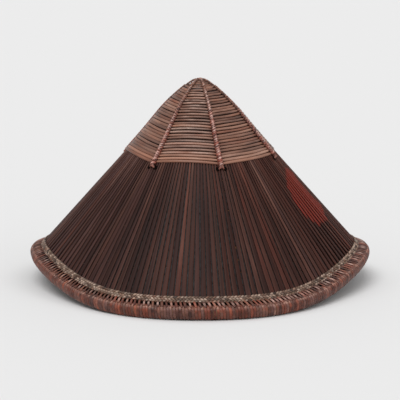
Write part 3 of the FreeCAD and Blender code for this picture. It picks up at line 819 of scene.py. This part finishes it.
def add_lashing(bundle, azimuth, slant, lean, redness, over):
    """One strand over the rib, from one side to the other, on a slant."""
    random = bundle.random
    turn = np.linspace(math.pi * 1.02, -math.pi * 0.02, 15)
    here = slant + lean * np.cos(turn) + random.normal(0, 0.18 * MM)
    centre, up = rib_line(azimuth, here)
    scale = rib_scale(here)
    side = sideways(azimuth)
    wide = (RIB_WIDTH / 2 - LASH_THICK / 2) * scale
    tall = (RIB_TALL - LASH_THICK + over) * scale
    centre = centre + side * (np.cos(turn) * wide)[:, None]
    centre = centre + up * (np.clip(np.sin(turn), -0.05, 1) * tall)[:, None]
    out = side * np.cos(turn)[:, None] + up * (np.maximum(np.sin(turn), 0.05) + 0.15)[:, None]
    width = LASH_WIDTH * scale * random.uniform(0.85, 1.1)
    crest = np.sin(np.clip(turn, 0, math.pi))[:, None] ** 3
    # painted highlight on the crest, and painted shade where the strand turns down the rib's sides
    wear_and_highlight = np.clip(crest * random.uniform(-0.2, 1.3) * (1 - 0.6 * np.abs(STRIP[:, 0])), 0, 1)
    tone = random.normal(0.4, 0.16) - 0.25 * (1 - crest)
    hue = np.clip(0.4 + redness + random.normal(0, 0.12), 0, 1)
    bundle.lay(centre, out, STRIP, width, LASH_THICK * np.sqrt(scale), LASH_WIDTH, tone, hue, wear_and_highlight)


def make_ribs(material):
    for number, (name, azimuth) in enumerate(RIB_AZIMUTHS.items()):
        bundle = Bundle(400 + number)
        add_rib_core(bundle, azimuth)
        for row in range(int((RIB_FOOT_SLANT - LASH_START) / LASH_PITCH)):
            slant = LASH_START + row * LASH_PITCH
            low = slant / RIB_FOOT_SLANT
            redness = 0.75 * np.clip((low - 0.28) / 0.3, 0, 1) - 0.22
            add_lashing(bundle, azimuth, slant, LASH_PITCH / 2, redness, 0.0)
            add_lashing(bundle, azimuth, slant + LASH_PITCH / 2, -LASH_PITCH / 2, redness, OVER_LASHING)
        bundle.make("rib_" + name, material, "rattan_binding", "cap_rib_" + name)


# ---------------------------------------------------------------- rib feet and lashing holes
HOLE_REACH = 4.8 * MM
HOLE_SLANT = 1.6 * MM
HOLE_RADIUS = 2.1 * MM
HOLE_RINGS = ((0.12, 0.1), (0.7, 0.15), (0.95, 0.3), (1.1, 0.2), (1.15, -0.3), (0.12, -0.5))


def add_foot_loop(bundle, azimuth, side, offset):
    """A turn of cane from the rib's end down into its hole."""
    random = bundle.random
    aside, down, up = wall_axes(azimuth)
    foot = on_wall(azimuth, RIB_FOOT_SLANT + offset, SPLINT_THICK)
    t = np.linspace(0, 1, 11)
    way = side * (0.4 + t * 2.5) * MM
    rise = (3.0 * np.cos(t * math.pi / 2) ** 0.7 + 0.1 - 0.5 * t) * MM
    drift = (HOLE_SLANT - offset) * t
    centre = foot + aside * way[:, None] + up * rise[:, None] + down * drift[:, None]
    out = aside * side * t[:, None] + up * (1.1 - t[:, None])
    tone = random.normal(0.26, 0.08)
    bundle.lay(centre, out, STRIP, 2 * MM, 0.9 * MM, 2 * MM, tone, random.uniform(0.6, 0.9), 0.1)


def add_hole(bundle, azimuth, side):
    """Painted shade in a lashing hole's mouth: a shallow dished disc with a rolled edge."""
    aside, down, up = wall_axes(azimuth)
    centre = on_wall(azimuth, RIB_FOOT_SLANT + HOLE_SLANT, SPLINT_THICK) + aside * side * HOLE_REACH
    turn = np.linspace(0, TAU, 18, endpoint=False)
    rings = []
    for share, rise in HOLE_RINGS:
        ring = centre + aside * (np.cos(turn) * HOLE_RADIUS * share * 0.85)[:, None]
        ring = ring + down * (np.sin(turn) * HOLE_RADIUS * share * 1.15)[:, None]
        rings.append(ring + up * ((rise + 0.45) * MM))
    section = np.stack([np.cos(turn), np.sin(turn)], axis=1)
    bundle.sweep(np.array(rings), section, 2 * HOLE_RADIUS, 0.0, wear_and_highlight=0.0)


def make_feet(cane, shade):
    loops = Bundle(450)
    holes = Bundle(451)
    for azimuth in RIBS:
        for side in (-1, 1):
            for offset in (-1.2 * MM, 0.9 * MM):
                add_foot_loop(loops, azimuth, side, offset)
            add_hole(holes, azimuth, side)
    loops.make("rib_feet", cane, "rattan_binding", "cap_rib_feet")
    holes.make("rib_foot_hole_shade", shade, "rattan_binding")


KNOT_RADIUS = 2.4 * MM
KNOT_SWING = 0.95 * MM
KNOT_WAVE = 0.75 * MM
KNOT_CORD = (2.1 * MM, 1.4 * MM)


def make_knot(material):
    """A small knotted button where the ribs meet: a cord that winds twice round and three times through."""
    bundle = Bundle(460)
    turn = np.linspace(0, TAU, 120, endpoint=False)
    radius = KNOT_RADIUS + KNOT_SWING * np.cos(3 * turn)
    height = CROWN_TOP + KNOT_HEIGHT / 2 + KNOT_WAVE * np.sin(3 * turn)
    centre = at(np.degrees(2 * turn), radius, height)
    across, up = frames(centre, UP, loop=True)
    rings = ribbon(centre - up * KNOT_CORD[1] / 2, across, up, STRAND, *KNOT_CORD)
    bundle.sweep(rings, STRAND, 2 * MM, 0.5, 0.45, 0.25, loop=True)
    bundle.make("knot", material, "rattan_binding", "crown_knot")


# ---------------------------------------------------------------- rim roll
WRAP_COUNT = 376
WRAP_THICK = 1.0 * MM
WRAP_STATIONS = 38


def add_wrap(bundle, azimuth):
    """One turn of the wound strip: over the top outside, round underneath and up the inside."""
    random = bundle.random
    angle = np.radians(np.linspace(128, -208, WRAP_STATIONS))
    lean = 0.55 + random.normal(0, 0.06)
    here = azimuth + lean * np.linspace(-0.9, 0.9, WRAP_STATIONS)
    inset = WRAP_THICK + 0.1 * MM + np.abs(random.normal(0, 0.12 * MM))
    out, up = roll_offset(angle, inset)
    radius, height = edge(here)
    centre = at(here, radius + out, height + up)
    heading = np.gradient(np.stack([out, up]), axis=1)
    face = outward(here) * -heading[1][:, None] + UP * heading[0][:, None]
    width = (EDGE_RADIUS * TAU / WRAP_COUNT) * random.uniform(0.82, 1.0)
    down = np.linspace(0, 1, WRAP_STATIONS)
    tone = random.normal(0.36, 0.12) + smooth_noise(random, down, 0.06, 0.16)[:, None]
    drift = 0.22 * math.sin(azimuth * 0.21) * math.sin(azimuth * 0.057 + 1)
    hue = 0.55 + drift + random.normal(0, 0.22) + smooth_noise(random, down, 0.09, 0.3)[:, None]
    # painted highlight along the roll's top shoulder, and slightly lighter strip edges for wear and painted
    # highlight
    shoulder_highlight = np.exp(-(((down - 0.15) / 0.04) ** 2))[:, None] * random.uniform(0.0, 1.1)
    wear_and_highlight = shoulder_highlight * (1 - 0.5 * np.abs(STRIP[:, 0])) + np.abs(STRIP[:, 0]) ** 4 * 0.12
    bundle.lay(centre, face, STRIP, width, WRAP_THICK, width, tone, np.clip(hue, 0, 1), wear_and_highlight)


def make_wrapping(material):
    quarters = [Bundle(500 + i) for i in range(4)]
    for index in range(WRAP_COUNT):
        add_wrap(quarters[index * 4 // WRAP_COUNT], index * 360 / WRAP_COUNT)
    for name, bundle in zip(("right_front", "right_back", "left_back", "left_front"), quarters):
        bundle.make("rim_wrap_" + name, material, "rim_rattan", "rim_wrapping")


# ---------------------------------------------------------------- braids and stitches
def roll_top_slant(azimuth, lift):
    """How far down the wall the roll's top meets a lift off the guide surface."""
    length, flat, steep = slope(azimuth)
    low, high = 75.0, 220.0
    for _ in range(30):
        middle = (low + high) / 2
        out, up = roll_offset(np.radians(middle), 0)
        if out * steep + (up + WALL_BELOW_ROLL) * flat > lift:
            low = middle
        else:
            high = middle
    return length + out * flat - (up + WALL_BELOW_ROLL) * steep


RING_GRID = np.arange(0, 361, 5.0)
BRAID_END, BAND_END = (
    np.array([roll_top_slant(azimuth, lift) for azimuth in RING_GRID]) - BRAID_ABOVE_ROLL
    for lift in (SPLINT_THICK + BRAID_THICK, -LINING_THICK - INNER_BAND_THICK)
)


def ring_value(azimuth, table):
    return np.interp(np.mod(azimuth, 360), RING_GRID, table)


def add_plait_strand(bundle, azimuth, middle, half_run, half_rise, lift, way, width, thick):
    """A short strand of a plait: it climbs over its neighbour and dives back under the next."""
    random = bundle.random
    t = np.linspace(-1, 1, 9)
    radius = float(edge(azimuth)[0])
    here = azimuth + np.degrees(t * half_run / radius)
    slant = middle + t * half_rise
    arch = np.cos(t * math.pi / 2) ** 0.8 * 0.9 * MM
    centre = on_wall(here, slant, lift + way * arch)
    face = wall_axes(azimuth)[2] * way
    taper = 0.7 + 0.3 * np.cos(t * math.pi / 2)
    # painted highlight where the strand arches over, painted shade where it dives under at its ends
    wear_and_highlight = np.cos(t * math.pi / 2)[:, None] ** 2 * max(0.0, random.uniform(-0.7, 1.0))
    tone = random.normal(0.5, 0.18) - 0.25 * np.sin(t * math.pi / 2)[:, None] ** 2
    bundle.lay(centre, face, STRIP, width * taper, thick, width, tone, random.normal(0.5, 0.2), wear_and_highlight)


PLAIT_ROWS = 3
PLAIT_STEP = 4.1 * MM
BAND_STEP = PLAIT_STEP * 1.3


def add_plait(bundle, step, table, first, apart, half_run, half_rise, *strand):
    """Rows of short strands round the rim that lean one way and the other in turn."""
    count = int(TAU * EDGE_RADIUS / step)
    for index in range(count):
        for row in range(PLAIT_ROWS):
            azimuth = (index + row * 0.5) * 360 / count
            middle = float(ring_value(azimuth, table)) - BRAID_WIDTH + first + row * apart
            lean = 1 if row % 2 else -1
            add_plait_strand(bundle, azimuth, middle, half_run, half_rise * lean, *strand)


def add_backing(bundle, table, start, end, low, high):
    """A thin band that closes a plait from behind, dark as painted shade between its strands."""
    azimuth = np.arange(0, 360, 2.5)[:, None]
    slant = ring_value(azimuth, table) + start + (end - start) * (FLAT_STRIP[:, 0] + 1) / 2
    lift = low + (high - low) * FLAT_STRIP[:, 1]
    bundle.sweep(on_wall(azimuth, slant, lift), FLAT_STRIP, BRAID_WIDTH, 0.1, 0.5, 0.0, loop=True)


def make_braid(material, shade):
    """The herringbone band above the roll, and the painted shade behind it."""
    lift = SPLINT_THICK - 0.1 * MM
    front = Bundle(600)
    rows = (1.2 * MM, 2.45 * MM, 2.5 * MM, 1.15 * MM)
    add_plait(front, PLAIT_STEP, BRAID_END, *rows, lift, 1, 2.2 * MM, 0.95 * MM)
    front.make("braid", material, "braid_rattan", "rim_braid")
    back = Bundle(601)
    add_backing(back, BRAID_END, 0.6 * MM - BRAID_WIDTH, 1.2 * MM, SPLINT_THICK, SPLINT_THICK + 0.45 * MM)
    back.make("braid_backing", shade, "braid_rattan")


def make_inner_band(material):
    """The plainer plaited band that covers the lining's edge inside."""
    bundle = Bundle(610)
    rows = (1.7 * MM, 3.3 * MM, 3.3 * MM, 1.5 * MM)
    add_plait(bundle, BAND_STEP, BAND_END, *rows, -LINING_THICK, -1, 3.0 * MM, 0.8 * MM)
    add_backing(bundle, BAND_END, -BRAID_WIDTH, 0, -LINING_THICK - 0.4 * MM, -LINING_THICK)
    bundle.make("inner_band", material, "braid_rattan", "rim_inner_band")


def add_stitch(bundle, azimuth):
    """A slanted tie that bridges the channel of painted shade from the braid to the top of the roll."""
    random = bundle.random
    t = np.linspace(0, 1, 9)
    radius, height = (float(v) for v in edge(azimuth))
    start_slant = float(ring_value(azimuth, BRAID_END)) - 3.4 * MM
    start = on_wall(azimuth - 0.5, start_slant, SPLINT_THICK + 0.7 * MM)
    out, up = roll_offset(math.radians(84), 0)
    end = at(azimuth + 0.35, radius + out, height + up - 0.5 * MM)
    normal = wall_axes(azimuth)[2]
    centre = start * (1 - t[:, None]) + end * t[:, None]
    centre = centre + normal * (np.sin(t * math.pi) * 1.0 * MM)[:, None]
    width = 2.6 * MM * random.uniform(0.8, 1.1)
    # painted highlight at the tie's middle, painted shade towards its ends where it goes in
    wear_and_highlight = np.clip(np.sin(t * math.pi), 0, 1)[:, None] ** 3 * max(0.0, random.uniform(-0.5, 0.7))
    tone = random.normal(0.24, 0.14) - 0.15 * np.cos(t * math.pi)[:, None] ** 2
    bundle.lay(centre, normal, STRIP, width, 0.85 * MM, 2.5 * MM, tone, random.uniform(0.2, 0.8), wear_and_highlight)


def make_stitches(material):
    bundle = Bundle(620)
    for index in range(STITCH_COUNT):
        add_stitch(bundle, index * 360 / STITCH_COUNT + bundle.random.normal(0, 0.08))
    bundle.make("stitches", material, "rattan_binding", "rim_stitches")


# ---------------------------------------------------------------- inner frame
RIB_TOP = -LINING_THICK - INNER_RIB_SEAT
RIB_LOW = RIB_TOP - INNER_RIB_THICK
RIB_JOINTS_APART = 78 * MM
HOOP_JOINTS_APART = 120 * MM
JOINT_REACH = 1.6 * MM
TIE_WIDTH = 1.5 * MM
TIE_THICK = 0.6 * MM
TIE_SQUARENESS = 0.45


def bamboo_joints(along, first, spacing):
    """The joints of a bamboo stick: 1 on each low ridge and 0 between them."""
    near = np.abs((along - first + spacing / 2) % spacing - spacing / 2)
    return np.exp(-((near / JOINT_REACH) ** 2))


def make_inner_ribs(material):
    for number, (name, azimuth) in enumerate(RIB_AZIMUTHS.items()):
        bundle = Bundle(700 + number)
        end = float(ring_value(azimuth, BAND_END)) - BRAID_WIDTH - 0.5 * MM
        slant = np.linspace(INNER_RIB_START, end, 150)
        aside, _, up = wall_axes(azimuth)
        joints = bamboo_joints(slant, bundle.random.uniform(60, 100) * MM, RIB_JOINTS_APART)
        centre = on_wall(azimuth, slant, RIB_TOP - 0.15 * MM)
        width = INNER_RIB_WIDTH * (0.94 + 0.07 * joints)
        thick = INNER_RIB_THICK * (0.93 + 0.07 * joints)
        rings = ribbon(centre, aside, -up, BAR, width, thick)
        tone = 0.45 - 0.3 * joints[:, None]
        bundle.sweep(rings, BAR, INNER_RIB_WIDTH, tone, bundle.random.normal(0.5, 0.1), 0.12)
        bundle.make("inner_rib_cane_" + name, material, "split_bamboo", "inner_rib_" + name)


def hoop_slant(azimuth, alias):
    """A hoop's slant, which is given at azimuth 45 and keeps its share of the wall's length."""
    return HOOP_SLANTS[alias] * slope(azimuth)[0] / slope(45)[0]


def make_hoops(material):
    azimuth = np.arange(0, 360, 1.5)
    for number, alias in enumerate(HOOP_SLANTS):
        bundle = Bundle(710 + number)
        middle = hoop_slant(azimuth, alias)
        radius = float(np.mean(middle * slope(azimuth)[1]))
        apart = TAU * radius / round(TAU * radius / HOOP_JOINTS_APART)
        joints = bamboo_joints(np.radians(azimuth) * radius, 30 * MM, apart)
        centre = on_wall(azimuth, middle, RIB_LOW - 0.05 * MM)
        width = HOOP_WIDTH * (0.93 + 0.06 * joints)
        thick = HOOP_THICK * (0.9 + 0.1 * joints)
        tone = 0.42 - 0.25 * joints[:, None]
        inward = -wall_axes(azimuth)[2]
        bundle.lay(centre, inward, BAR, width, thick, HOOP_WIDTH, tone, 0.5, 0.12, loop=True)
        bundle.make("hoop_" + alias, material, "split_bamboo", "inner_hoop_" + alias)


def add_frame_tie(bundle, azimuth, alias, shift, lean):
    """One turn of the lashing that holds a hoop to a rib."""
    middle = float(hoop_slant(azimuth, alias))
    reach = HOOP_WIDTH / 2 + 0.7 * MM
    drop = HOOP_THICK + 0.5 * MM
    turn = np.linspace(0, math.pi, 21)
    way = reach * np.sign(np.cos(turn)) * np.abs(np.cos(turn)) ** TIE_SQUARENESS
    sink = drop * np.abs(np.sin(turn)) ** TIE_SQUARENESS
    aside, down, up = wall_axes(azimuth)
    centre = on_wall(azimuth, middle + way, RIB_LOW - sink + TIE_THICK)
    centre = centre + aside * (shift + lean * way / reach)[:, None]
    out = down * way[:, None] / reach - up * (sink[:, None] / drop)
    tone, hue = bundle.random.normal(0.45, 0.12), bundle.random.uniform(0.3, 0.8)
    bundle.lay(centre, out, STRIP, TIE_WIDTH, TIE_THICK, TIE_WIDTH, tone, hue, 0.2)


def make_ties(material):
    bundle = Bundle(720)
    for alias in HOOP_SLANTS:
        for azimuth in RIBS:
            for lean in (-1.0 * MM, 1.0 * MM):
                for shift in (-1.3 * MM, 0.0, 1.3 * MM):
                    add_frame_tie(bundle, azimuth, alias, shift, lean)
    bundle.make("frame_lashings", material, "rattan_binding", "frame_ties")


# ---------------------------------------------------------------- head ring
RING_LOW, RING_HIGH = (corner[2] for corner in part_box("head_ring_band"))
RING_STRANDS = 96
RING_TURNS = 190


def make_ring_band(material):
    """The band that sits on the head: slanting strips plaited over and under one another."""
    bundle = Bundle(800)
    height = RING_HIGH - RING_LOW
    middle_radius = RING_INNER_RADIUS + RING_WALL / 2
    turn_per_rise = np.degrees(height / middle_radius)
    t = np.linspace(0, 1, 43)
    crossings = 2 * RING_STRANDS * turn_per_rise / 360
    for way in (-1, 1):
        for index in range(RING_STRANDS):
            azimuth = index * 360 / RING_STRANDS + way * turn_per_rise * t
            wave = np.cos(math.pi * (crossings * t + index)) * way * 0.5 * MM
            centre = at(azimuth, middle_radius + wave, RING_LOW + height * t)
            across, up = frames(centre, outward(azimuth))
            rings = ribbon(centre - up * 0.3 * MM, across, up, FLAT_STRIP, 3.9 * MM, 0.6 * MM)
            tone, hue = bundle.random.normal(0.45, 0.13), bundle.random.normal(0.5, 0.12)
            bundle.sweep(rings, FLAT_STRIP, 4 * MM, tone, hue)
    bundle.make("ring_band", material, "woven_bamboo_lining", "head_ring_band")


def make_ring_binding(material, name, node):
    """Split cane wound closely over the band's edge."""
    low, high = (corner[2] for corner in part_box(node))
    bundle = Bundle(810 + len(name))
    radius = RING_INNER_RADIUS + RING_WALL
    angle = np.radians(np.linspace(118, -118, 17))
    out = BINDING_WALL * 0.98 * (np.cos(angle) + 0.25) / 1.25
    rise = (high - low) / 2 * 0.93 * np.sin(angle)
    for index in range(RING_TURNS):
        azimuth = index * 360 / RING_TURNS + np.linspace(-0.5, 0.5, 17)
        centre = at(azimuth, radius + out - 0.55 * MM, (low + high) / 2 + rise)
        face = outward(azimuth) * np.cos(angle)[:, None] + UP * np.sin(angle)[:, None]
        tone, hue = bundle.random.normal(0.42, 0.12), bundle.random.uniform(0.3, 0.8)
        bundle.lay(centre, face, STRIP, 3 * MM, 0.5 * MM, 3 * MM, tone, hue, 0.15)
    bundle.make(name, material, "rattan_binding", node)


def make_struts(material):
    """Short arms from the ring's top binding to the inner ribs."""
    bundle = Bundle(820)
    top = RING_HIGH - 1 * MM
    start = RING_INNER_RADIUS + RING_WALL + BINDING_WALL - 0.3 * MM
    level = top - STRUT_TALL / 2
    flare = 1 + 0.1 * np.linspace(-1, 1, 12) ** 4
    for azimuth in RIBS:
        _, flat, steep = slope(azimuth)
        end_slant = (APEX_HEIGHT + RIB_LOW * flat - level) / steep
        end = float(end_slant * flat + RIB_LOW * steep) + 0.8 * MM
        centre = at(azimuth, np.linspace(start, end, 12), top - STRUT_TALL)
        rings = ribbon(centre, sideways(azimuth), UP, BAR, STRUT_WIDTH * 0.92 * flare, STRUT_TALL)
        bundle.sweep(rings, BAR, STRUT_WIDTH, 0.4, 0.5, 0.15)
    bundle.make("ring_struts", material, "split_bamboo", "head_ring_struts")


# ---------------------------------------------------------------- stage, light and camera
FLOOR_REACH = 120.0


def make_floor():
    mesh = bpy.data.meshes.new("floor")
    corners = [(x * FLOOR_REACH, y * FLOOR_REACH, 0) for x, y in ((-1, -1), (1, -1), (1, 1), (-1, 1))]
    mesh.from_pydata(corners, [], [(0, 1, 2, 3)])
    floor = bpy.data.objects.new("floor", mesh)
    bpy.context.scene.collection.objects.link(floor)
    shader = Shader("floor_paint")
    shader.surface.inputs["Base Color"].default_value = (0.73, 0.73, 0.73, 1)
    shader.surface.inputs["Roughness"].default_value = 0.9
    shader.surface.inputs["Specular IOR Level"].default_value = 0.0
    mesh.materials.append(shader.material)


def make_lights():
    world = bpy.data.worlds.new("studio")
    world.use_nodes = True
    background = world.node_tree.nodes["Background"]
    background.inputs["Color"].default_value = (0.83, 0.83, 0.83, 1)
    background.inputs["Strength"].default_value = 0.8
    bpy.context.scene.world = world
    for name, azimuth, elevation, strength, angle in (
        ("key", -25, 62, 1.5, 40),
        ("fill", 50, 35, 0.35, 60),
    ):
        data = bpy.data.lights.new(name, "SUN")
        data.energy = strength
        data.angle = math.radians(angle)
        lamp = bpy.data.objects.new(name, data)
        bpy.context.scene.collection.objects.link(lamp)
        lamp.rotation_euler = (math.radians(90 - elevation), 0, math.radians(azimuth))


CAMERA_DISTANCE = 1.4744
CAMERA_HEIGHT = 0.363
CAMERA_PITCH = 0.178
CAMERA_LENS = 108.2


def make_camera():
    data = bpy.data.cameras.new("camera")
    data.lens = CAMERA_LENS
    data.sensor_width = 36
    data.clip_end = 500
    camera = bpy.data.objects.new("camera", data)
    bpy.context.scene.collection.objects.link(camera)
    camera.location = (0, -CAMERA_DISTANCE, CAMERA_HEIGHT)
    camera.rotation_euler = (math.pi / 2 - CAMERA_PITCH, 0, 0)
    bpy.context.scene.camera = camera
    bpy.context.scene.view_settings.view_transform = "Standard"


def dress_cad_nodes():
    """Hidden hoops stay as CAD solids in plain bamboo, the crown's core in bamboo darkened as painted
    shade.
    """
    plain = wood_material("plain_bamboo", 1.0)
    # painted shade: the crown's core darkened where it shows between the crown strips
    painted_shade = wood_material("shade_dark_bamboo", 0.25)
    for name, material in (("rim_hoop_outer", plain), ("rim_hoop_inner", plain), ("crown_boss", painted_shade)):
        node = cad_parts[name]
        node.data.materials.clear()
        node.data.materials.append(material)


canes = {name: strip_material(name, **look) for name, look in CANES.items()}
binding, bamboo, shade = canes["binding_cane"], canes["split_bamboo"], canes["hole_shade"]

make_camera()
make_floor()
make_lights()
dress_cad_nodes()
make_splints(canes["dark_splint"])
make_linings(canes["lining_bamboo"])
make_cap(canes["cap_cane"], shade)
make_ribs(binding)
make_feet(binding, shade)
make_knot(binding)
make_wrapping(canes["rim_cane"])
make_braid(canes["braid_cane"], shade)
make_inner_band(canes["braid_cane"])
make_stitches(binding)
make_inner_ribs(bamboo)
make_hoops(bamboo)
make_ties(binding)
make_ring_band(canes["lining_bamboo"])
make_ring_binding(binding, "ring_top_binding", "head_ring_top_binding")
make_ring_binding(binding, "ring_bottom_binding", "head_ring_bottom_binding")
make_struts(bamboo)
